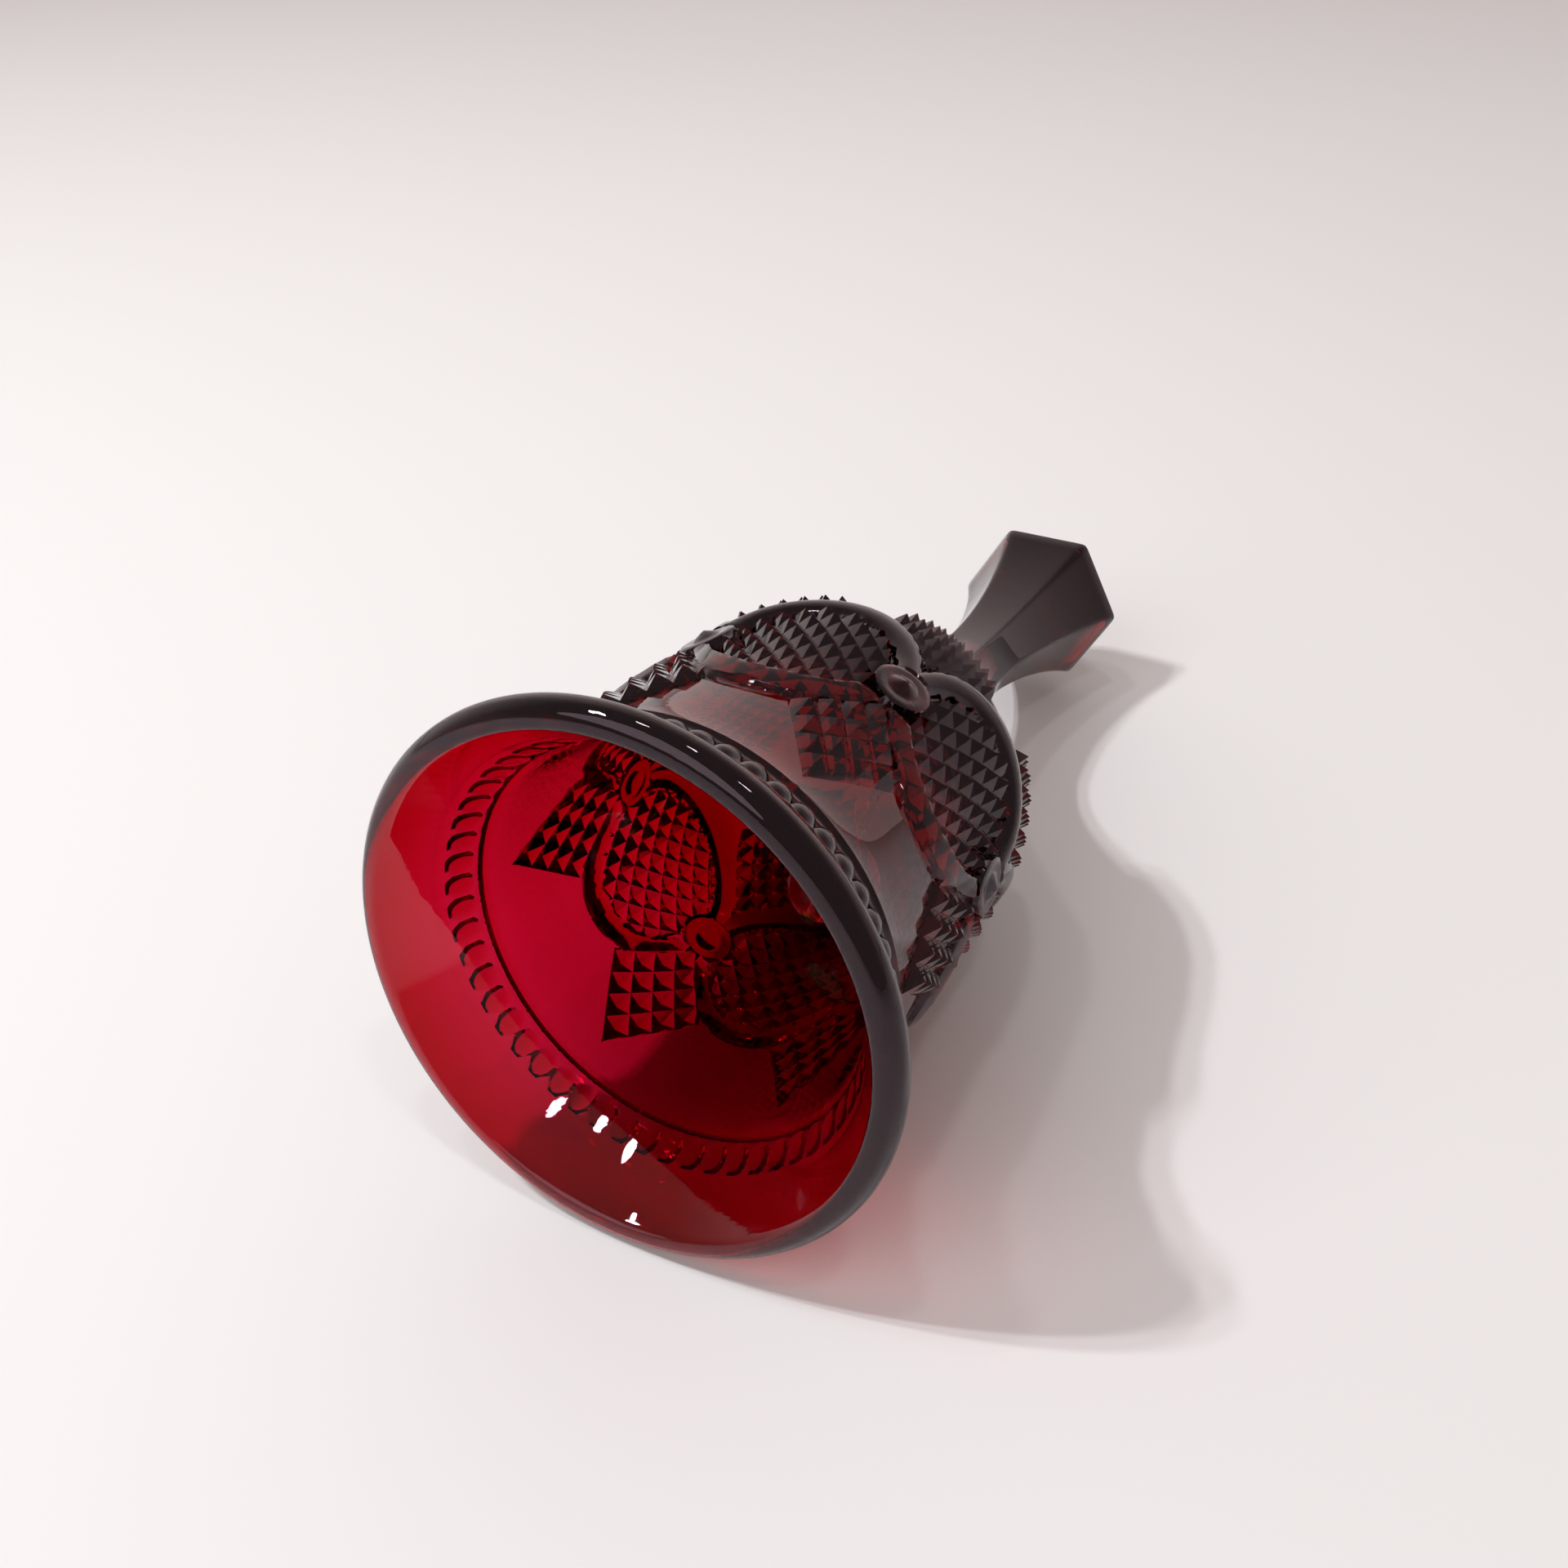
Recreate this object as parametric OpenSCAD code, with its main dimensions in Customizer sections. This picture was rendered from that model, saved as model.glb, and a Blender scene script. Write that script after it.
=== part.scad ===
// Pressed glass hand bell, lying on its side, with a bead clapper on a link chain.
// Every piece is drawn around the bell's own axis: Z runs from the mouth (0) to the end of the
// handle, and +X is the side that is down. lying() then tips the whole bell on to the table.

/* [Glass] */
// Height of the bell from the mouth to the end of the handle
total_h = 165; // [160:1:170]
// Largest radius of the lip
lip_r = 41.3; // [40:0.1:42]
// Radius of the round bead along the lip
lip_bead_r = 2.6; // [2.2:0.1:3]
// Width of the flat land that the bell stands on when it is upright
rim_land_w = 1.2; // [0.8:0.1:1.6]
// Thickness of the skirt
wall_t = 3.5; // [3:0.1:4]

/* [Handle] */
// Distance from the axis to a flat of the stem at its narrowest
stem_apothem = 6.4; // [6:0.1:7]
// Distance from the axis to a flat of the knob
knob_apothem = 14.1; // [13:0.1:15]
// Height of the bevel on the end of the knob
knob_bevel_h = 2.8; // [2:0.1:3.5]
// Distance from the axis to a flat of the knob's end face
knob_end_apothem = 10.5; // [8:0.1:12]

/* [Pattern] */
// Height up the bell of the centres of the rings and medallions
pattern_z = 52; // [50:0.5:54]
// Radius of the centre line of each ring
ring_r = 16.8; // [16:0.1:17]
// How far a ring stands out of the wall
ring_h = 2.1; // [1.5:0.1:2.4]
// Half the width of a ring at its foot
ring_half_w = 2.9; // [2.4:0.1:3.2]
// Radius of a medallion
medallion_r = 4.8; // [4:0.1:5.2]
// How far a medallion stands out of the wall
medallion_h = 1.9; // [1.6:0.1:2.6]
// How far the diamond points stand out of the wall
point_h = 1.5; // [1:0.1:1.6]
// Number of beads around the flare
bead_count = 54; // [42:6:60]

/* [Clapper] */
// Number of links in the chain
link_count = 5; // [5:1:5]
// Radius of the chain's wire
link_wire_r = 0.45; // [0.4:0.01:0.46]
// Length of a link's straight sides
link_straight = 2.6; // [2.4:0.1:2.6]
// Diameter of the clapper bead
bead_d = 12; // [11:0.1:12]
// Angle between the chain and the bell's axis at rest
clapper_lean = 30; // [28:0.5:30]

/* [Hidden] */
sides = 6;
sector = 360 / sides;
eps = 0.01;

// Outside of the glass between the lip and the stem, as [height, radius] knots of a smooth curve
outer_knots = [[4.6, 40.2], [9, 36.7], [13, 34.3], [17, 32.9], [22, 31.9], [30, 31.3], [40, 30.9], [50, 30.6],
               [58, 30.5], [64, 30.1], [70, 28.8], [76, 26.9], [82, 24], [88, 20.2], [94, 15.9], [100, 12],
               [108, 8.5], [118, 6.2]];
// Inside of the glass, from the mouth to the crown. The glass is thickest at the shoulder.
inner_knots = [[0, lip_r - lip_bead_r - rim_land_w], [4, 35.3], [9, 32.7], [13, 34.3 - wall_t],
               [18, 32.6 - wall_t], [25, 31.6 - wall_t], [40, 30.9 - wall_t], [52, 30 - wall_t], [60, 25],
               [70, 20.9], [80, 15.6], [88, 11.2], [94, 7.6], [98, 4.2]];
knot_steps = 2;

// Point at t between b and c on the Catmull-Rom curve through a, b, c and d
function spline_point(a, b, c, d, t) =
    0.5 * (2 * b + (c - a) * t + (2 * a - 5 * b + 4 * c - d) * t * t + (3 * b - a - 3 * c + d) * t * t * t);
function knot(k, i) = k[min(max(i, 0), len(k) - 1)];
function spline(k) = concat(
    [for (i = [0 : len(k) - 2], j = [0 : knot_steps - 1])
        spline_point(knot(k, i - 1), k[i], k[i + 1], knot(k, i + 2), j / knot_steps)],
    [k[len(k) - 1]]);

outer_curve = spline(outer_knots);
inner_curve = spline(inner_knots);
function outer_r(z) = lookup(z, outer_curve);
function flip(points) = [for (p = points) [p[1], p[0]]];

// The bell rests on the lip's bead and on the crest of the lowest ring
lip_ring_r = lip_r - lip_bead_r;
knob_z = total_h - knob_bevel_h;
crest_z = pattern_z + ring_r;
crest_r = outer_r(crest_z) + ring_h;
rest_run = crest_z - lip_bead_r;
rest_drop = lip_ring_r - crest_r;
tip = atan2(rest_drop, rest_run) + asin(lip_bead_r / norm([rest_run, rest_drop]));
axis_height = lip_bead_r + lip_ring_r * cos(tip) + lip_bead_r * sin(tip);
low_x = lip_bead_r * cos(tip) - lip_ring_r * sin(tip) - lip_bead_r;
high_x = total_h * cos(tip) + knob_end_apothem * sin(tip);

// Handle: each flat is straight across and hollow along its length, up to the knob's girdle
stem_z = 120;
stem_foot_z = 106;
girdle_h = 0.6;
flute_rise = knob_apothem - stem_apothem;
flute_run = knob_z - girdle_h - stem_z;
flute_r = (pow(flute_run, 2) + pow(flute_rise, 2)) / (2 * flute_rise);

// Ring of small beads on the flare, below a raised line
bead_row_z = 12.9;
bead_row_r = 1.9;
line_z = 16.8;
line_r = 0.7;

// Diamond points: cells of a slanted lattice, each half_x by half_y from centre to corner
oval_reach = 12.6;
oval_half = 2.45;
kite_top = 47.4;
kite_bottom = 22.1;
kite_cells = 4;
kite_half_x = 9.6 / kite_cells;
kite_half_y = (kite_top - kite_bottom) / (2 * kite_cells);
crown_bottom = 60;
crown_top = 88;
crown_half_x = 2.6;
crown_half_y = 2.8;
crown_reach = 11.5;
point_floor = 0.25;
point_root = 1.5;
ring_root = 1.2;
ring_steps = 24;
ring_pinch = 0.75;

// Crown socket, with its cement and the wire eye that carries the chain
socket_r = 3.2;
socket_top = 106;
crown_z = 98;
cement_lip_r = 4;
cement_lip_h = 0.9;
eye_wire_r = 0.5;
eye_ring_r = 1.9;
eye_foot_r = 1.5;
eye_foot_h = 0.6;
eye_foot_z = 104;
link_bow_r = 1.55;
link_gap = 0.05;
eye_gap = 0.15;
link_span = link_straight + 2 * link_bow_r;
link_pitch = link_span - 2 * link_wire_r - link_gap;
first_link = eye_ring_r - eye_wire_r - link_wire_r - eye_gap;
pin_loop = first_link + link_count * link_pitch + link_bow_r;
bead_gap = 0.15;
bead_flat_r = 1.6;
bead_flat_h = sqrt(pow(bead_d / 2, 2) - bead_flat_r * bead_flat_r);
bead_at = pin_loop + link_bow_r + link_wire_r + bead_gap + bead_flat_h;
bead_bore_r = link_wire_r + 0.06;
pin_head_r = 1.3;
pin_head_h = 0.7;
// Height of the eye's centre, which leaves the bead just clear of the glass
eye_z = 93.2;

module lying() {
    translate([-(low_x + high_x) / 2, 0, axis_height]) rotate([0, 90 + tip, 0]) children();
}

// Along the hanging chain: Z points from the eye to the bead, X stays in the upright plane
module along_chain(distance) {
    translate([0, 0, eye_z]) rotate([0, 180 - clapper_lean, 0]) translate([0, 0, distance]) children();
}

// A point on or above the glass at an angle around the axis and a height up it
function on_glass(turn, z, out) = [(outer_r(z) + out) * cos(turn), (outer_r(z) + out) * sin(turn), z];
// The pattern is laid out on a flat sheet, where a sector is two ring radii and a little wide
sheet_r = 32.5;
function degrees(x) = x / sheet_r * 180 / PI;

module bell_wall() {
    rotate_extrude($fn = 120) {
        polygon(concat([[0, total_h / 2], [0, 0], [lip_ring_r, 0], [lip_ring_r, lip_bead_r]], flip(outer_curve),
            [[0, outer_knots[len(outer_knots) - 1][0]]]));
        translate([lip_ring_r, lip_bead_r]) circle(r = lip_bead_r);
        translate([outer_r(line_z) - 0.15, line_z]) circle(r = line_r);
    }
}

module cavity() {
    rotate_extrude($fn = 120)
        polygon(concat([[0, -1], [inner_knots[0][1], -1]], flip(inner_curve), [[0, crown_z]]));
    translate([0, 0, crown_z - 1]) cylinder(r = socket_r, h = socket_top - crown_z + 1, $fn = 48);
}

// The handle between two opposite flats, each hollowed by one large arc
module flat_pair() {
    difference() {
        rotate([90, 0, 0]) linear_extrude(height = 60, center = true)
            polygon([[-knob_apothem, stem_foot_z], [knob_apothem, stem_foot_z], [knob_apothem, knob_z],
                [knob_end_apothem, total_h], [-knob_end_apothem, total_h], [-knob_apothem, knob_z]]);
        for (side = [-1, 1]) translate([side * (stem_apothem + flute_r), 0, stem_z]) rotate([90, 0, 0])
            cylinder(r = flute_r, h = 80, center = true, $fn = 240);
    }
}

module handle() {
    intersection() {
        flat_pair();
        rotate(sector) flat_pair();
        rotate(2 * sector) flat_pair();
    }
}

// One ring band of the pattern, wider at the top and bottom than beside the medallions
module ring_band() {
    section = [[-1.1, -ring_root], [-0.6, 0.75 * ring_h], [0, ring_h], [0.6, 0.75 * ring_h], [1.1, -ring_root]];
    n = len(section);
    points = [for (i = [0 : ring_steps - 1], p = section)
        let (a = i * 360 / ring_steps)
        let (half = ring_half_w * (ring_pinch + (1 - ring_pinch) * pow(sin(a), 2)))
        let (r = ring_r + p[0] * half)
        on_glass(degrees(r * cos(a)), pattern_z + r * sin(a), p[1])];
    faces = [for (i = [0 : ring_steps - 1], j = [0 : n - 1])
        let (a = i * n + j, b = i * n + (j + 1) % n)
        let (c = ((i + 1) % ring_steps) * n + (j + 1) % n, d = ((i + 1) % ring_steps) * n + j)
        each [[a, c, b], [a, d, c]]];
    polyhedron(points, faces);
}

// Diamond points on the cells of a lattice n by n, centred at [turn, z]; keep() picks the cells
module diamond_points(turn, z, n, half_x, half_y, wanted) {
    m = n + 1;
    function corner(i, j, out) = on_glass(turn + degrees((i - j) * half_x), z + (i + j - n) * half_y, out);
    function is_cell(i, j) = i >= 0 && j >= 0 && i < n && j < n && wanted[i][j];
    lattice = [for (i = [0 : n], j = [0 : n]) corner(i, j, point_floor)];
    roots = [for (i = [0 : n], j = [0 : n]) corner(i, j, -point_root)];
    tips = [for (i = [0 : n - 1], j = [0 : n - 1]) corner(i + 0.5, j + 0.5, point_h)];
    cells = [for (i = [0 : n - 1], j = [0 : n - 1]) if (wanted[i][j]) [i, j]];
    tops = [for (c = cells)
        let (a = c[0] * m + c[1], b = a + m, d = a + m + 1, e = a + 1, t = 2 * m * m + c[0] * n + c[1])
        each [[a, e, t], [e, d, t], [d, b, t], [b, a, t]]];
    bottoms = [for (c = cells)
        let (a = m * m + c[0] * m + c[1], b = a + m, d = a + m + 1, e = a + 1)
        each [[a, b, d], [a, d, e]]];
    // A wall where a cell has no neighbour: from corner p to corner q, with the cell on its left
    edges = [for (c = cells)
        let (i = c[0], j = c[1], a = i * m + j, b = a + m, d = a + m + 1, e = a + 1)
        each concat(
            is_cell(i, j - 1) ? [] : [[a, b]],
            is_cell(i + 1, j) ? [] : [[b, d]],
            is_cell(i, j + 1) ? [] : [[d, e]],
            is_cell(i - 1, j) ? [] : [[e, a]])];
    walls = [for (s = edges) each [[s[0], s[1], m * m + s[1]], [s[0], m * m + s[1], m * m + s[0]]]];
    polyhedron(concat(lattice, roots, tips), concat(tops, bottoms, walls));
}

function all_cells(n) = [for (i = [0 : n - 1]) [for (j = [0 : n - 1]) true]];
oval_n = 7;
function oval_cell(i, j) = norm([(i - j) * oval_half, (i + j + 1 - oval_n) * oval_half]) < oval_reach - oval_half;
oval_cells = [for (i = [0 : oval_n - 1]) [for (j = [0 : oval_n - 1]) oval_cell(i, j)]];
crown_n = 5;
function crown_cell(i, j) = abs(i - j) * crown_half_x < crown_reach - crown_half_x;
crown_cells = [for (i = [0 : crown_n - 1]) [for (j = [0 : crown_n - 1]) crown_cell(i, j)]];

module medallion() {
    translate([outer_r(pattern_z) - 2, 0, pattern_z]) rotate([0, 90, 0]) {
        cylinder(r = medallion_r, h = 2 + medallion_h, $fn = 48);
        translate([0, 0, 2 + medallion_h - eps]) cylinder(r1 = 2.2, r2 = 0.3, h = 1, $fn = 36);
    }
}

module glass_bell() color([0.45, 0.02, 0.05]) difference() {
    union() {
        bell_wall();
        handle();
        for (k = [0 : sides - 1]) rotate(k * sector) {
            ring_band();
            diamond_points(0, pattern_z, oval_n, oval_half, oval_half, oval_cells);
            diamond_points(sector / 2, (kite_top + kite_bottom) / 2, kite_cells, kite_half_x, kite_half_y,
                all_cells(kite_cells));
            diamond_points(sector / 2, (crown_top + crown_bottom) / 2, crown_n, crown_half_x, crown_half_y,
                crown_cells);
            rotate(sector / 2) medallion();
        }
        for (k = [0 : bead_count - 1]) rotate((k + 0.5) * 360 / bead_count)
            translate([outer_r(bead_row_z) - 0.9, 0, bead_row_z]) sphere(r = bead_row_r, $fn = 24);
    }
    cavity();
}

// Wire eye: a ring in the upright plane, a shank and a foot that keys it into the cement
module eye_wire() {
    translate([0, 0, eye_z]) rotate([90, 0, 0]) rotate_extrude($fn = 48)
        translate([eye_ring_r, 0]) circle(r = eye_wire_r, $fn = 24);
    translate([0, 0, eye_z + eye_ring_r]) cylinder(r = eye_wire_r, h = eye_foot_z - eye_z - eye_ring_r, $fn = 24);
    translate([0, 0, eye_foot_z]) cylinder(r = eye_foot_r, h = eye_foot_h, $fn = 32);
}

module crown_cement() color([0.9, 0.88, 0.83]) difference() {
    rotate_extrude($fn = 48)
        polygon([[0, crown_z - cement_lip_h], [cement_lip_r * 0.75, crown_z - cement_lip_h],
            [cement_lip_r, crown_z - cement_lip_h / 3], [cement_lip_r, crown_z], [socket_r, crown_z],
            [socket_r, socket_top], [0, socket_top]]);
    eye_wire();
}

module hanger_eye() color([0.72, 0.6, 0.34]) eye_wire();

module half_bow() {
    rotate([90, 0, 0]) rotate_extrude(angle = 180, $fn = 48)
        translate([link_bow_r, 0]) circle(r = link_wire_r, $fn = 24);
}

// Oval chain link: its plane holds the chain and X, and its first bow is at the origin
module link() {
    translate([0, 0, link_bow_r]) mirror([0, 0, 1]) half_bow();
    translate([0, 0, link_bow_r + link_straight]) half_bow();
    for (side = [-1, 1]) translate([side * link_bow_r, 0, link_bow_r])
        cylinder(r = link_wire_r, h = link_straight, $fn = 24);
}

// Odd links lie across the upright plane and even links lie in it
module chain_link(k) {
    color([0.74, 0.62, 0.36]) along_chain(first_link + (k - 1) * link_pitch) rotate(k % 2 == 1 ? 90 : 0) link();
}

module bead_pin() color([0.74, 0.62, 0.36]) along_chain(0) {
    shank_end = bead_at + bead_flat_h + bead_gap;
    translate([0, 0, pin_loop]) rotate([90, 0, link_count % 2 == 1 ? 0 : 90]) rotate_extrude($fn = 48)
        translate([link_bow_r, 0]) circle(r = link_wire_r, $fn = 24);
    translate([0, 0, pin_loop + link_bow_r])
        cylinder(r = link_wire_r, h = shank_end - pin_loop - link_bow_r + eps, $fn = 24);
    translate([0, 0, shank_end]) cylinder(r = pin_head_r, h = pin_head_h, $fn = 32);
}

module clapper_bead() color([0.85, 0.85, 0.88]) along_chain(bead_at) difference() {
    intersection() {
        sphere(r = bead_d / 2, $fn = 64);
        cube([bead_d, bead_d, 2 * bead_flat_h], center = true);
    }
    translate([0, 0, -bead_d]) cylinder(r = bead_bore_r, h = 2 * bead_d, $fn = 24);
}

lying() glass_bell();
lying() crown_cement();
lying() hanger_eye();
lying() chain_link(1);  // chain_link_1
lying() chain_link(2);  // chain_link_2
lying() chain_link(3);  // chain_link_3
lying() chain_link(4);  // chain_link_4
lying() chain_link(5);  // chain_link_5
lying() bead_pin();
lying() clapper_bead();
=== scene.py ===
import math

import bpy
import numpy as np
from mathutils import Matrix, Vector


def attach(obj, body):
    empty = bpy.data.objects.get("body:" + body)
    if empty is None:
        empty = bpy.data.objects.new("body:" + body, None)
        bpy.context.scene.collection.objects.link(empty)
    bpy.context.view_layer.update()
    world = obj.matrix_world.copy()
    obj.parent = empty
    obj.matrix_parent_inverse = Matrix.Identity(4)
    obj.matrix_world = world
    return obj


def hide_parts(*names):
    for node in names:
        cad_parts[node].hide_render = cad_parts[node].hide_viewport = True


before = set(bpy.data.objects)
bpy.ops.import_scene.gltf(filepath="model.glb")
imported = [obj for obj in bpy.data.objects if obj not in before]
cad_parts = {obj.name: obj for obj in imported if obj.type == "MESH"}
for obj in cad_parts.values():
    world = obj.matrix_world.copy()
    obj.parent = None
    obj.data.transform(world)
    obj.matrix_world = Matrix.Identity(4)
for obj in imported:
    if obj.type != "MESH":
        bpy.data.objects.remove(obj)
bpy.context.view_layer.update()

# The glass is modelled in its own axes, in millimetres: z (or s, on the pattern's flat sheet) runs from the mouth
# to the end of the handle, and x is the side that is down. lying() lays it on the table, in metres.

# ---------------------------------------------------------------- measures
TIP = math.radians(8.702332)            # how far the axis dips towards the handle
MOUTH_X, AXIS_Z = -79.40193, 41.24786   # middle of the mouth in the row frame
MM = 0.001

# Flat sheet of the pattern: six sectors, each from one medallion's middle to the next one's
HALF_SECTOR = 17
SHEET_R = HALF_SECTOR / math.radians(30)

# Pattern: heights s up from the mouth, radii on the sheet, and how far things stand out
STEP_S, STEP_H = 9.95, 0.25
COVE_LOW_S, COVE_HIGH_S, COVE_DEPTH = 10.3, 16, 0.35
BEAD_ROW_S, BEAD_HALF_W, BEAD_HALF_L, BEAD_H, BEAD_SINK = 13.1, 1.98, 2.2, 1.35, 0.3
LINE_S, LINE_H = 16.7, 0.75
RING_S = 52
OVAL_R = 13.6
ARCH_R, ARCH_HALF_W, ARCH_H = 16.75, 3.15, 2.04
STRAP_IN_R, STRAP_OUT_R, STRAP_H = 12.9, 17.7, 2.2
MEDALLION_S, MEDALLION_R, MEDALLION_FACE_R = 51.9, 4.72, 32.4
RIM_OUT_R, RIM_IN_R = 4.86, 4.5
DOT_R, DOT_H = 2.35, 1.35
ABSENT = -9                             # height of a feature where there is none

# Handle and knob: heights and apothems of the six-sided section
STEM_Z, KNOB_Z, TOP_Z = 120, 162.2, 165
STEM_A, KNOB_A, END_A = 6.4, 14.1, 10.5
FLUTE_END_Z = KNOB_Z - 0.6
RISE, RUN = KNOB_A - STEM_A, FLUTE_END_Z - STEM_Z
FLUTE_R = (RUN ** 2 + RISE ** 2) / (2 * RISE)
STEM_CORNER, KNOB_CORNER = 0.16, 0.4    # how much the corners are rounded
SHOULDER_BLEND = 0.28

# Lip and crown socket
LIP_R, LIP_BEAD_R, LIP_CREASE = 38.675, 2.6, 0.035
SOCKET_R, SOCKET_TOP = 3.25, 106.05


def lying(p):
    """Points in the bell's own axes, in mm, to the row frame, in metres."""
    x, y, z = p[:, 0], p[:, 1], p[:, 2]
    st, ct = math.sin(TIP), math.cos(TIP)
    return np.column_stack([MOUTH_X - x * st + z * ct, y, AXIS_Z - x * ct - z * st]) * MM


def smooth(t):
    t = np.clip(t, 0, 1)
    return t * t * (3 - 2 * t)


def spline(knots, steps=200):
    """Catmull-Rom curve through the knots, as the CAD part has it but finer."""
    k = np.array(knots, float)
    p = np.vstack([k[0], k, k[-1]])
    t = (np.arange(steps) / steps)[:, None]
    out = [0.5 * (2 * b + (c - a) * t + (2 * a - 5 * b + 4 * c - d) * t ** 2 + (3 * b - a - 3 * c + d) * t ** 3)
           for a, b, c, d in zip(p, p[1:], p[2:], p[3:])]
    return np.vstack(out + [k[-1:]])


# Height and radius up the two sides of the glass
OUTER = spline([[4.6, 40.2], [9, 36.7], [13, 34.3], [17, 32.9], [22, 31.9], [30, 31.3], [40, 30.9], [50, 30.6],
                [58, 30.5], [64, 30.1], [70, 28.8], [76, 26.9], [82, 24], [88, 20.2], [94, 15.9], [100, 12],
                [108, 8.5], [118, 6.2]])
INNER = spline([[0.9, 37.1], [4, 35.3], [9, 32.7], [13, 30.8], [18, 29.1], [25, 28.1], [40, 27.4], [52, 26.5],
                [60, 25], [70, 20.9], [80, 15.6], [88, 11.2], [94, 7.6], [98, 4.3]])


def outer_r(s):
    return np.interp(s, OUTER[:, 0], OUTER[:, 1])


def outer_normal(s):
    slope = (outer_r(s + 0.4) - outer_r(s - 0.4)) / 0.8
    return 1 / np.sqrt(1 + slope ** 2), -slope / np.sqrt(1 + slope ** 2)


# ---------------------------------------------------------------- the patterned outside, one half sector
# Columns 0..36 run from the middle of a ring to the middle of a medallion. Rows follow the diamond lattices,
# whose half cells are five columns by five rows, so every ridge and valley lies along mesh edges.
HALF = 36
POINT = 10                              # rows, or columns, that one diamond point takes
KITE_ROW, OVAL_ROW, FAN_ROW, FAN_END_ROW = 40, 55, 70, 126
FIRST = np.concatenate([[5.2, 6.6, 8, 9.2, 9.7, 10.05, 10.4], 10.6 + 0.45 * np.arange(1, 12),
                        [16, 16.35, 16.7, 17.05, 17.5], [18.3, 19.2, 20.2, 21.2]])
KITE_LINE = np.concatenate([22.1 + 0.6325 * np.arange(41), 47.4 + (60 - 47.4) / 30 * np.arange(1, 31),
                            60 + 0.5 * np.arange(1, 56)])
RING_LINE = np.concatenate([np.linspace(22.1, 39.75, 31), 39.75 + 0.49 * np.arange(1, 51),
                            np.linspace(64.25, 72, 16)[1:], np.linspace(72, 87.5, 31)[1:]])
LAST = np.linspace(87.5, 99.5, 14)[1:]
S_KITE = np.concatenate([FIRST, KITE_LINE, LAST])
S_RING = np.concatenate([FIRST, RING_LINE, LAST])
ROWS = len(S_KITE)
I = np.arange(HALF + 1)
J = np.arange(ROWS) - len(FIRST)        # row 0 is where the lattices start


def pyramid(a, b):
    """Height 0..1 of the diamond point over lattice place (a, b), whose cells are unit squares on whole numbers."""
    return 1 - 2 * np.maximum(np.abs(a - np.floor(a) - 0.5), np.abs(b - np.floor(b) - 0.5))


def oval_lattice(i, j):
    return (i + j - OVAL_ROW) / POINT + 0.5, (i - j + OVAL_ROW) / POINT + 0.5


def kite_lattice(i, j):
    back = HALF - i
    return (back + KITE_ROW - j) / POINT, (KITE_ROW - j - back) / POINT


def fan_lattice(i, j):
    back = HALF - i
    return (j - FAN_ROW + back) / POINT, (j - FAN_ROW - back) / POINT


def sheet():
    """Sheet place x and height s of each vertex of the half sector."""
    even = HALF_SECTOR / HALF * I
    kite = np.interp(I, [0, 16, HALF], [0, 7.4, HALF_SECTOR])
    oval = np.interp(I, [0, 25, HALF], [0, 12.25, HALF_SECTOR])
    x = np.empty((ROWS, HALF + 1))
    for r, j in enumerate(J):
        if j < 28:
            t = smooth(np.interp(j, [-8, -1], [0, 1]))
            x[r] = even * (1 - t) + kite * t
        elif j < 60:
            t = np.interp(j, [28, 32], [0, 1])
            x[r] = kite * (1 - t) + oval * t
        else:
            t = np.interp(j, [78, 86], [0, 1])
            x[r] = oval * (1 - t) + even * t
    # from x = low to x = high, rows change over from the heights of the ring to those of the kite
    rows = [0, 20, 30, 35, 40, 70, 80, 95]
    low = np.interp(J, rows, [0.5, 0.5, 4.5, 8.6, 11.0, 11.0, 4.0, 0.5])[:, None]
    high = np.interp(J, rows, [7.4, 7.4, 12, 14.5, 16.5, 16.5, 12, 5])[:, None]
    w = smooth((x - low) / (high - low))
    return x, S_RING[:, None] * (1 - w) + S_KITE[:, None] * w


def below_pattern(i, s):
    """A fine step near the lip, then a cove with the row of beads, and the raised line over it."""
    h = -COVE_DEPTH * smooth((s - COVE_LOW_S) / 0.8) * smooth((COVE_HIGH_S - s) / 0.6)
    h = np.maximum(h, LINE_H * np.exp(-((s - LINE_S) / 0.55) ** 2))
    h += STEP_H * np.exp(-((s - STEP_S) / 0.35) ** 2)
    column = HALF_SECTOR / HALF * outer_r(s) / SHEET_R
    for centre in range(4, HALF + 1, 8):
        e = np.hypot((i - centre) * column / BEAD_HALF_W, (s - BEAD_ROW_S) / BEAD_HALF_L)
        h = np.maximum(h, BEAD_H * np.sqrt(np.clip(1 - e ** 2, 0, 1)) - BEAD_SINK)
    return h


def kite_points(i, j):
    """Kite of diamond points below the medallion."""
    a, b = kite_lattice(i, j)
    inside = (a >= 0) & (a <= 4) & (b >= 0) & (b <= 4) & (j >= 0) & (j <= KITE_ROW)
    return np.where(inside, 0.45 + 1.6 * pyramid(a, b), ABSENT)


def fan_points(i, j):
    """Fan of diamond points above the medallion, made of whole points only."""
    a, b = fan_lattice(i, j)
    ca, cb = np.floor(a - 1e-6) + 0.5, np.floor(b - 1e-6) + 0.5
    across, up = POINT / 2 * (ca - cb), FAN_ROW + POINT / 2 * (ca + cb)
    rounded = (across / 25) ** 2 + (np.maximum(up - 95, 0) / 31) ** 2 < 0.9
    kept = (a >= 0) & (b >= 0) & (across <= 21) & rounded & (up < FAN_END_ROW)
    return np.where(kept, 0.35 + 2.2 * pyramid(a, b), ABSENT)


def arch(y, rho):
    """Upper part of a ring: a thick round arch, narrower at its top."""
    steep = np.clip(np.abs(y) / np.maximum(rho, 1e-3), 0, 1)
    u = (rho - ARCH_R) / (ARCH_HALF_W * (0.74 + 0.26 * steep ** 2))
    h = ARCH_H * np.clip(1 - u ** 2, 0, 1) ** 0.62 * smooth((y + 4.5) / 3.5)
    return np.where(h > 0.02, h, ABSENT)


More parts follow.
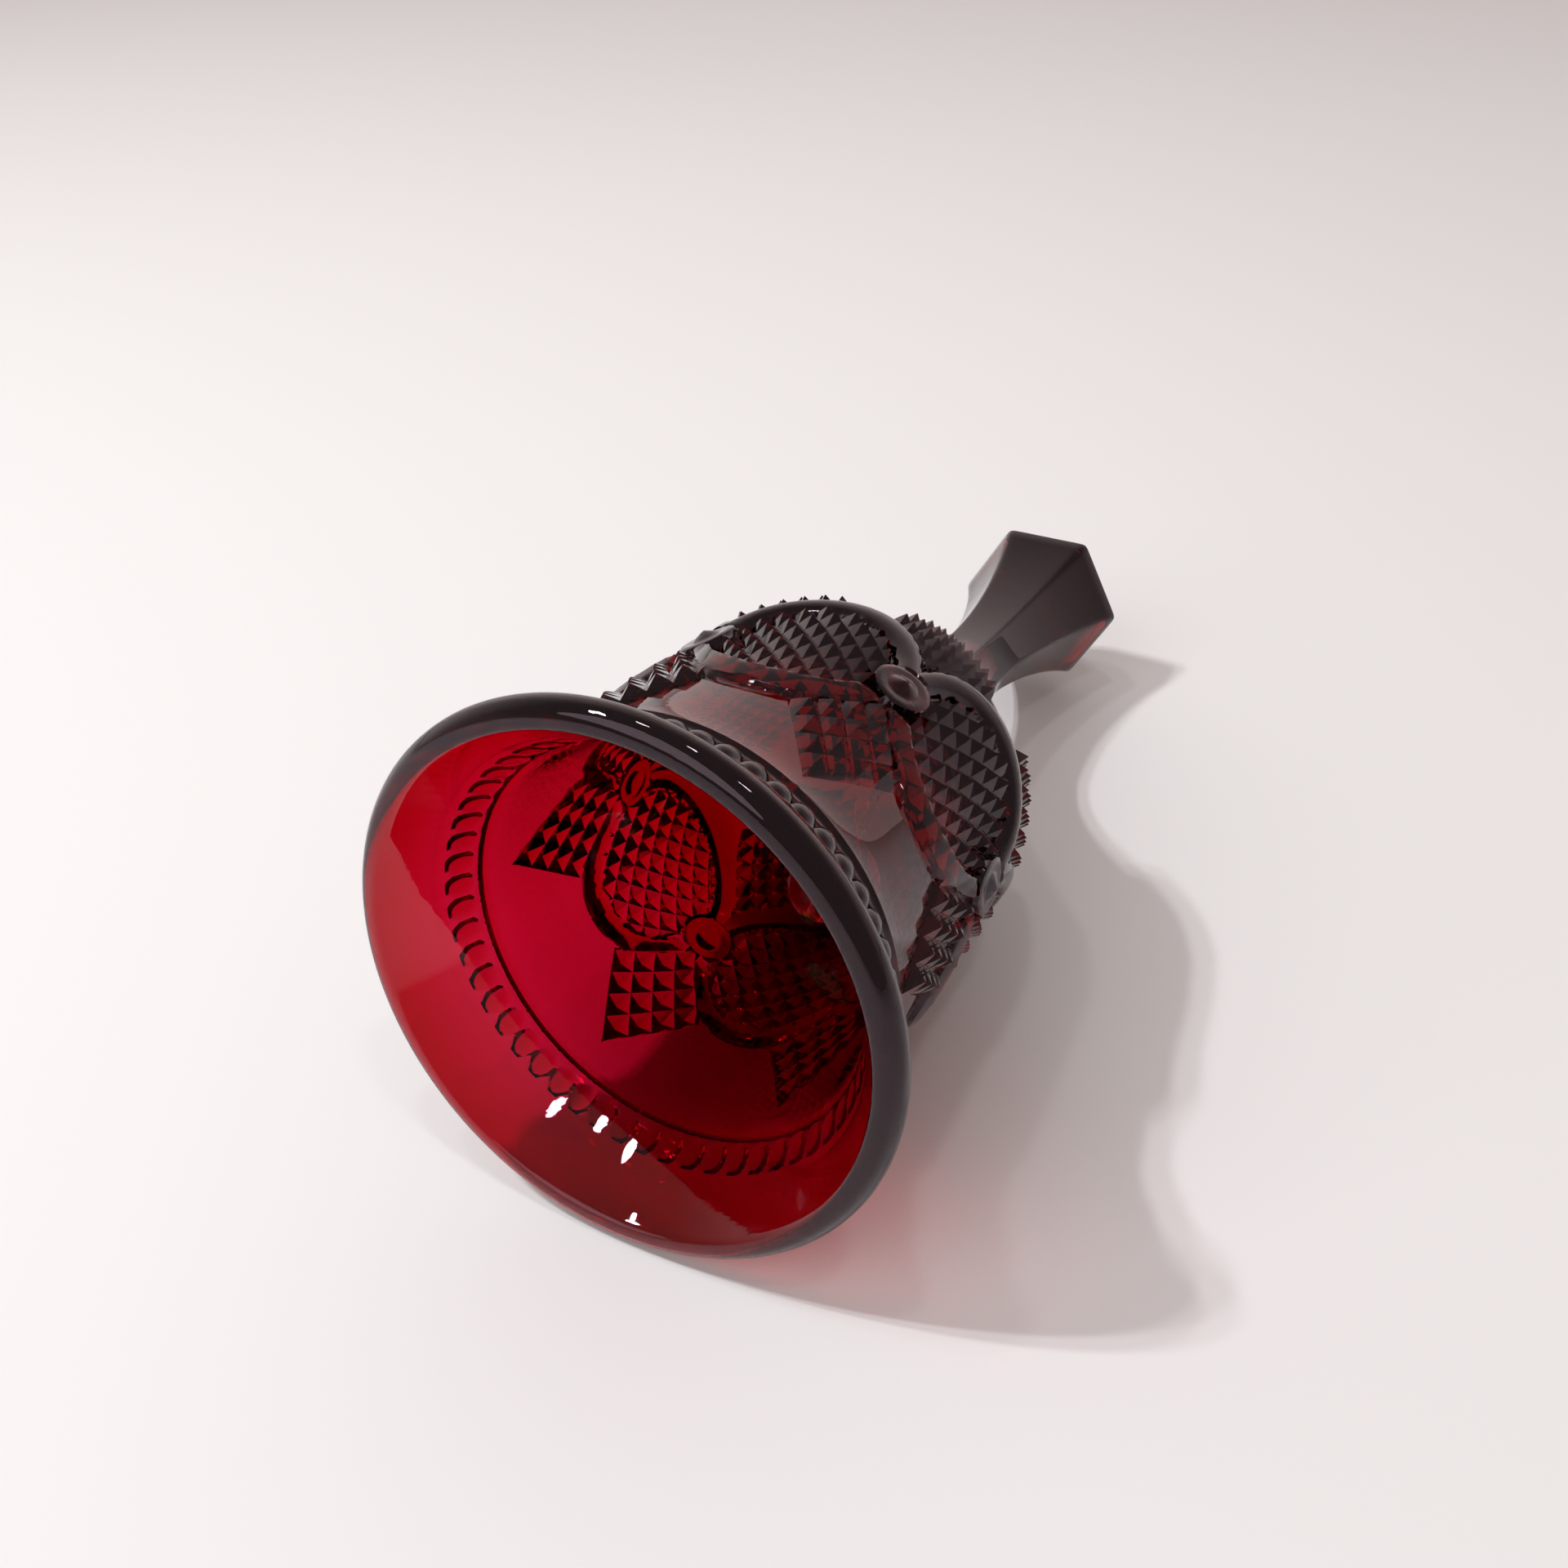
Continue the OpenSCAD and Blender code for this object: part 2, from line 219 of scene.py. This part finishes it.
def strap(x, y, rho):
    """Lower part of a ring: a slanting band, which ends in a point over the kite."""
    slope = -5.9 + np.maximum(x - 11.2, 0) * 0.22
    d_in = np.minimum(rho - STRAP_IN_R, slope - y)
    to_kite = -(x - HALF_SECTOR) * 0.797 + (y + 4.6) * 0.604
    d_out = np.minimum(STRAP_OUT_R - rho, to_kite + 0.2)
    t = np.clip(d_in / np.maximum(d_in + d_out, 1e-3), 0, 1)
    h = STRAP_H * smooth(d_in) ** 0.7 * (1 - 0.62 * t ** 1.25) * smooth(d_out / 0.5) ** 0.5
    return np.where((d_in > 0) & (d_out > 0), h, ABSENT)


def relief(x, s):
    """How far the pattern stands out of the wall."""
    i, j = I[None, :] + 0 * s, J[:, None] + 0 * s
    y = s - RING_S
    rho = np.hypot(x, y)
    h = np.where(rho < OVAL_R, 0.1 + 1.7 * pyramid(*oval_lattice(i, j)), below_pattern(i, s))
    h = np.maximum(h, fan_points(i, j))
    kite, over = kite_points(i, j), arch(y, rho)
    return np.where(kite > ABSENT, np.maximum(kite, over), np.maximum(h, np.maximum(over, strap(x, y, rho))))


def medallion(x, s, h):
    """Raises the round medallion. Its rim is snapped to two true circles, so its side stands up straight."""
    dx, ds = x - HALF_SECTOR, s - MEDALLION_S
    dm = np.hypot(dx, ds)
    out = dm > MEDALLION_R
    near = np.zeros_like(out)
    for axis, shift, edge in ((0, 1, None), (0, -1, None), (1, 1, 0), (1, -1, -1)):
        moved = np.roll(out, shift, axis)
        if edge is not None:
            moved[:, edge] = out[:, edge]
        near |= moved != out
    target = np.where(out, RIM_OUT_R, RIM_IN_R)
    x = np.where(near, HALF_SECTOR + dx * target / np.maximum(dm, 1e-6), x)
    s = np.where(near, MEDALLION_S + ds * target / np.maximum(dm, 1e-6), s)
    dm = np.hypot(x - HALF_SECTOR, s - MEDALLION_S)
    face = MEDALLION_FACE_R - 0.28 * smooth(1 - dm / 4.2) - 0.22 * smooth((dm - 3.9) / 0.6)
    face = face + DOT_H * np.clip(1 - dm / DOT_R, 0, 1) ** 0.85
    turn = (x - HALF_SECTOR) / SHEET_R
    return x, s, np.where(out, h, face / np.cos(turn) - outer_r(s))


def diagonals(x, s, h):
    """True where a square is cut from its right to its upper corner, so that the cut lies along the lattice."""
    def leans(a, b):
        return np.abs(a - np.floor(a) - 0.5) > np.abs(b - np.floor(b) - 0.5)

    i, j = I[None, :-1] + 0.5, J[:-1, None] + 0.5
    back = HALF - i
    rho = np.hypot((x[:-1, :-1] + x[1:, 1:]) / 2, (s[:-1, :-1] + s[1:, 1:]) / 2 - RING_S)
    cut = np.abs(h[:-1, 1:] - h[1:, :-1]) < np.abs(h[:-1, :-1] - h[1:, 1:])
    cut = np.where(rho < 13, leans(*oval_lattice(i, j)), cut)
    in_kite = (j < KITE_ROW) & (j > 0) & (back < np.minimum(KITE_ROW - j, j) + 1)
    cut = np.where(in_kite, leans(*kite_lattice(i, j)), cut)
    in_fan = (j > FAN_ROW) & (j < FAN_END_ROW) & (back <= j - FAN_ROW + 1) & (rho > 19)
    return np.where(in_fan, ~leans(*fan_lattice(i, j)), cut)


def patterned_rings():
    """Rings of 432 points up the patterned outside, and for each square which way it is cut."""
    x, s = sheet()
    x, s, h = medallion(x, s, relief(x, s))
    cut = diagonals(x, s, h)
    nr, ns = outer_normal(s)
    r, z = outer_r(s) + h * nr, s + h * ns
    column = np.arange(FINE)
    m, k = column % (2 * HALF), column // (2 * HALF)
    mirror = m > HALF
    i = np.where(mirror, 2 * HALF - m, m)
    centre = np.radians(60.0 * (k + mirror))
    phi = centre + np.where(mirror, -1, 1) * x[:, i] / SHEET_R
    rings = np.stack([r[:, i] * np.cos(phi), r[:, i] * np.sin(phi), z[:, i]], axis=2)
    q = np.where(m >= HALF, 2 * HALF - 1 - m, m)
    return rings, np.where(m >= HALF, ~cut[:, q], cut[:, q])


# ---------------------------------------------------------------- handle, lip and inside
FINE, COARSE = 12 * HALF, 6 * HALF      # points round the patterned part and round the plain parts
TURN = np.arange(COARSE) * 2 * math.pi / COARSE


def ring(r, z):
    return np.column_stack([r * np.cos(TURN), r * np.sin(TURN), np.full(COARSE, float(z))])


def hexagon(apothem, corner):
    """Radius of a six-sided section at each column, with its corners a little rounded."""
    flats = [apothem / np.maximum(np.cos(TURN - k * math.pi / 3), 0.2) for k in range(6)]
    near, beside = np.sort(np.array(flats), axis=0)[:2]
    return near - corner * np.log1p(np.exp(-(beside - near) / corner)) * 0.9


def handle_rings():
    """Up the six hollow flats of the handle, over the bevelled knob and in across its end."""
    out = []
    for z in np.concatenate([np.linspace(100.5, 118, 12), np.linspace(119.5, FLUTE_END_Z, 24)]):
        apothem = STEM_A + FLUTE_R - math.sqrt(FLUTE_R ** 2 - (z - STEM_Z) ** 2)
        six = hexagon(apothem, STEM_CORNER + (KNOB_CORNER - STEM_CORNER) * smooth((z - 140) / 18))
        if z < 122:
            body = float(outer_r(min(z, 118))) - max(z - 118, 0) * 0.3
            six = six + SHOULDER_BLEND * np.log1p(np.exp((body - six) / SHOULDER_BLEND))
        out.append(ring(six, z))
    for z, apothem in ((KNOB_Z - 0.2, KNOB_A - 0.01), (KNOB_Z + 0.15, KNOB_A - 0.14), (KNOB_Z + 0.5, KNOB_A - 0.6),
                       (TOP_Z - 0.45, END_A + 0.55), (TOP_Z - 0.15, END_A + 0.15), (TOP_Z, END_A - 0.25)):
        out.append(ring(hexagon(apothem, KNOB_CORNER), z))
    for share in (0.93, 0.7, 0.42, 0.18):
        out.append(ring(hexagon(END_A, KNOB_CORNER) * share, TOP_Z))
    return out


def lip_rings():
    """Round the lip, from the inside of its flat land to the flare's outside, with faint creases of the mould."""
    out = [ring(37.45, 0.3), ring(37.75, 0.07), ring(38.1, 0.0)]
    for turn in np.radians(np.linspace(-90, 46, 20)):
        r = LIP_BEAD_R - LIP_CREASE * (math.cos(9 * turn) * 0.5 + 0.5) * (abs(turn) > 0.15)
        out.append(ring(LIP_R + r * math.cos(turn), LIP_BEAD_R + r * math.sin(turn)))
    return out


def inside_rings():
    """Down the inside, from the top of the crown socket to the lip."""
    out = [ring(r, SOCKET_TOP) for r in (1.4, 2.9)]
    out += [ring(SOCKET_R, z) for z in (105.7, 103, 100.5, 98.4)]
    length = np.concatenate([[0], np.cumsum(np.hypot(*np.diff(INNER, axis=0).T))])
    for at in np.linspace(length[-1], 0, 40):
        out.append(ring(np.interp(at, length, INNER[:, 1]), np.interp(at, length, INNER[:, 0])))
    return out


def build_bell():
    """One closed skin: socket and inside, lip, patterned outside, handle and the end of the knob."""
    points, faces, count = [], [], 0

    def add(p):
        nonlocal count
        points.append(p)
        count += len(p)
        return count - len(p)

    def bridge(a, b, n, cut):
        """Joins two rings of n points. A square that is cut has its diagonal from a's next point to b's own."""
        c = np.arange(n)
        nxt = (c + 1) % n
        a0, a1, b0, b1 = a + c, a + nxt, b + c, b + nxt
        faces.append(np.column_stack([a0, a1, np.where(cut, b0, b1)]))
        faces.append(np.column_stack([np.where(cut, a1, a0), b1, b0]))

    c = np.arange(COARSE)
    nxt = (c + 1) % COARSE
    fine, fine_end = 2 * c, (2 * c + 2) % FINE
    plain = np.zeros(COARSE, bool)

    centre = add(np.array([[0, 0, SOCKET_TOP]]))
    rings = inside_rings() + lip_rings()
    last = add(rings[0])
    faces.append(np.column_stack([np.full(COARSE, centre), last + nxt, last + c]))
    for p in rings[1:]:
        now = add(p)
        bridge(last, now, COARSE, plain)
        last = now

    rings, cuts = patterned_rings()
    now = add(rings[0])
    faces.extend([np.column_stack([last + c, last + nxt, now + fine + 1]),
                  np.column_stack([last + c, now + fine + 1, now + fine]),
                  np.column_stack([last + nxt, now + fine_end, now + fine + 1])])
    last = now
    for p, cut in zip(rings[1:], cuts):
        now = add(p)
        bridge(last, now, FINE, cut)
        last = now

    rings = handle_rings()
    now = add(rings[0])
    faces.extend([np.column_stack([last + fine, last + fine + 1, now + c]),
                  np.column_stack([last + fine + 1, now + nxt, now + c]),
                  np.column_stack([last + fine + 1, last + fine_end, now + nxt])])
    last = now
    for p in rings[1:]:
        now = add(p)
        bridge(last, now, COARSE, plain)
        last = now
    centre = add(np.array([[0, 0, TOP_Z]], float))
    faces.append(np.column_stack([last + c, last + nxt, np.full(COARSE, centre)]))
    return np.vstack(points), np.vstack(faces)


def mesh_object(name, points, faces):
    mesh = bpy.data.meshes.new(name)
    mesh.from_pydata(points, [], faces)
    obj = bpy.data.objects.new(name, mesh)
    bpy.context.scene.collection.objects.link(obj)
    return obj


bell_points, bell_faces = build_bell()
bell = mesh_object("ruby_glass_bell", lying(bell_points).tolist(), bell_faces.tolist())
bell.data.shade_smooth()
bell.data.set_sharp_from_angle(angle=math.radians(34))
bell.data.validate()
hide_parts("glass_bell")
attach(bell, "bell")


# ---------------------------------------------------------------- materials
def material(name):
    mat = bpy.data.materials.new(name)
    mat.use_nodes = True
    nodes, links = mat.node_tree.nodes, mat.node_tree.links
    return mat, nodes, links, nodes["Principled BSDF"]


def noise(nodes, links, scale, detail, rough=0.5):
    coords = nodes.new("ShaderNodeTexCoord")
    n = nodes.new("ShaderNodeTexNoise")
    n.inputs["Scale"].default_value = scale
    n.inputs["Detail"].default_value = detail
    n.inputs["Roughness"].default_value = rough
    links.new(coords.outputs["Object"], n.inputs["Vector"])
    return n.outputs["Fac"]


def ramp(nodes, links, value, low, high, out_low, out_high):
    m = nodes.new("ShaderNodeMapRange")
    m.inputs["From Min"].default_value = low
    m.inputs["From Max"].default_value = high
    m.inputs["To Min"].default_value = out_low
    m.inputs["To Max"].default_value = out_high
    links.new(value, m.inputs["Value"])
    return m.outputs["Result"]


def tint(nodes, links, bsdf, factor, first, second):
    """Base colour between two tints."""
    mix = nodes.new("ShaderNodeMix")
    mix.data_type = "RGBA"
    mix.inputs["A"].default_value = (*first, 1)
    mix.inputs["B"].default_value = (*second, 1)
    links.new(factor, mix.inputs["Factor"])
    links.new(mix.outputs["Result"], bsdf.inputs["Base Color"])


def bump(nodes, links, bsdf, height, strength, distance):
    b = nodes.new("ShaderNodeBump")
    b.inputs["Strength"].default_value = strength
    b.inputs["Distance"].default_value = distance
    links.new(height, b.inputs["Height"])
    links.new(b.outputs["Normal"], bsdf.inputs["Normal"])


def ruby_glass():
    """Clear glass whose volume takes up all but red, so thin walls glow and thick ones look near black."""
    mat, nodes, links, bsdf = material("ruby_glass")
    bsdf.inputs["Base Color"].default_value = (1, 1, 1, 1)
    bsdf.inputs["Transmission Weight"].default_value = 1.0
    bsdf.inputs["IOR"].default_value = 1.52
    bsdf.inputs["Specular Tint"].default_value = (1, 0.74, 0.84, 1)
    wear = noise(nodes, links, 90, 4, 0.6)
    links.new(ramp(nodes, links, wear, 0.45, 0.75, 0.0, 0.02), bsdf.inputs["Roughness"])
    patches = ramp(nodes, links, noise(nodes, links, 55, 1), 0.45, 0.6, 0.0, 1.0)
    ripple = nodes.new("ShaderNodeMath")
    ripple.operation = "MULTIPLY"
    links.new(patches, ripple.inputs[0])
    links.new(noise(nodes, links, 900, 1), ripple.inputs[1])
    bump(nodes, links, bsdf, ripple.outputs["Value"], 0.035, 0.0004)
    absorb = nodes.new("ShaderNodeVolumeAbsorption")
    absorb.inputs["Color"].default_value = (0.915, 0.2, 0.5, 1)
    absorb.inputs["Density"].default_value = 2000
    out = next(n for n in nodes if n.type == "OUTPUT_MATERIAL")
    links.new(absorb.outputs[0], out.inputs["Volume"])
    return mat


def clear_acrylic():
    mat, nodes, links, bsdf = material("clear_acrylic")
    bsdf.inputs["Base Color"].default_value = (0.97, 0.97, 0.98, 1)
    bsdf.inputs["Transmission Weight"].default_value = 1.0
    bsdf.inputs["IOR"].default_value = 1.49
    wear = noise(nodes, links, 400, 3, 0.6)
    links.new(ramp(nodes, links, wear, 0.45, 0.75, 0.0, 0.04), bsdf.inputs["Roughness"])
    bump(nodes, links, bsdf, noise(nodes, links, 500, 2), 0.08, 0.0002)
    return mat


def brass_wire():
    mat, nodes, links, bsdf = material("brass_wire")
    bsdf.inputs["Metallic"].default_value = 1.0
    tarnish = noise(nodes, links, 600, 5, 0.65)
    tint(nodes, links, bsdf, ramp(nodes, links, tarnish, 0.5, 0.72, 0, 1), (0.62, 0.44, 0.19), (0.2, 0.13, 0.06))
    links.new(ramp(nodes, links, tarnish, 0.35, 0.7, 0.22, 0.5), bsdf.inputs["Roughness"])
    bump(nodes, links, bsdf, noise(nodes, links, 2500, 2), 0.25, 0.00006)
    return mat


def plaster():
    mat, nodes, links, bsdf = material("plaster")
    tint(nodes, links, bsdf, noise(nodes, links, 700, 6, 0.7), (0.74, 0.71, 0.64), (0.56, 0.52, 0.45))
    bsdf.inputs["Roughness"].default_value = 0.9
    bump(nodes, links, bsdf, noise(nodes, links, 1800, 6, 0.7), 0.6, 0.0002)
    return mat


def paint(node, mat):
    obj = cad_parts[node]
    obj.data.materials.clear()
    obj.data.materials.append(mat)


bell.data.materials.append(ruby_glass())
paint("crown_cement", plaster())
paint("clapper_bead", clear_acrylic())
brass = brass_wire()
for wire in ["hanger_eye", "bead_pin"] + [f"chain_link_{k}" for k in range(1, 6)]:
    paint(wire, brass)


# ---------------------------------------------------------------- floor, light and camera
def floor():
    side = 3.0
    corners = [(-side, -side, 0), (side, -side, 0), (side, side, 0), (-side, side, 0)]
    obj = mesh_object("floor", corners, [(0, 1, 2, 3)])
    mat, nodes, links, bsdf = material("floor")
    tint(nodes, links, bsdf, noise(nodes, links, 2.0, 2), (0.89, 0.88, 0.87), (0.86, 0.845, 0.835))
    bsdf.inputs["Roughness"].default_value = 0.6
    bsdf.inputs["Specular IOR Level"].default_value = 0.25
    obj.data.materials.append(mat)


def studio():
    """Bright walls on the far side, and a dim room above and behind the camera for the glass to mirror."""
    world = bpy.data.worlds.new("studio")
    world.use_nodes = True
    nodes, links = world.node_tree.nodes, world.node_tree.links
    coords = nodes.new("ShaderNodeTexCoord")
    along = nodes.new("ShaderNodeVectorMath")
    along.operation = "DOT_PRODUCT"
    along.inputs[1].default_value = (0.6, 0.34, -0.72)
    links.new(coords.outputs["Generated"], along.inputs[0])
    background = nodes["Background"]
    background.inputs["Color"].default_value = (1.0, 0.87, 0.83, 1)
    links.new(ramp(nodes, links, along.outputs["Value"], -0.3, 0.5, 0.31, 1.08), background.inputs["Strength"])
    bpy.context.scene.world = world


def lamp(name, at, size, watts, target=(0, 0, 0)):
    light = bpy.data.lights.new(name, "AREA")
    light.shape = "DISK"
    light.size = size
    light.energy = watts
    light.color = (0.96, 0.97, 1.0)
    obj = bpy.data.objects.new(name, light)
    obj.location = at
    obj.rotation_euler = (Vector(target) - Vector(at)).to_track_quat("-Z", "Y").to_euler()
    bpy.context.scene.collection.objects.link(obj)


def lamps():
    """A key of four small disks, three small lamps that the glass mirrors as points, and a wide soft one."""
    key = Vector((-0.30, 0.62, 1.0)).normalized() * 1.3
    side = key.cross(Vector((0, 0, 1))).normalized()
    rise = side.cross(key).normalized()
    half = 0.032
    for k, (u, v) in enumerate(((-1, -1), (1, -1), (1, 1), (-1, 1))):
        lamp(f"key_{k}", key + side * half * u + rise * half * v, 0.035, 1.95, (0, 0, 0.03))
    lamp("overhead", (-0.14, 0.02, 1.4), 0.1, 1.0)
    lamp("middle", (-0.13, 0.4, 1.33), 0.1, 1.0)
    lamp("near_side", (-0.25, -0.42, 1.31), 0.1, 0.8)
    lamp("window", (-1.25, 0.41, 0.92), 1.4, 7.5)


def camera():
    data = bpy.data.cameras.new("camera")
    data.lens = data.sensor_width = 36
    data.clip_start, data.clip_end = 0.01, 20
    obj = bpy.data.objects.new("camera", data)
    obj.matrix_world = Matrix(((0.471005, 0.535417, -0.701059, -0.194162),
                               (-0.881448, 0.254406, -0.397903, -0.092777),
                               (-0.034691, 0.805361, 0.591768, 0.181503),
                               (0, 0, 0, 1)))
    bpy.context.scene.collection.objects.link(obj)
    bpy.context.scene.camera = obj


floor()
studio()
lamps()
camera()
bpy.context.scene.view_settings.view_transform = "Standard"
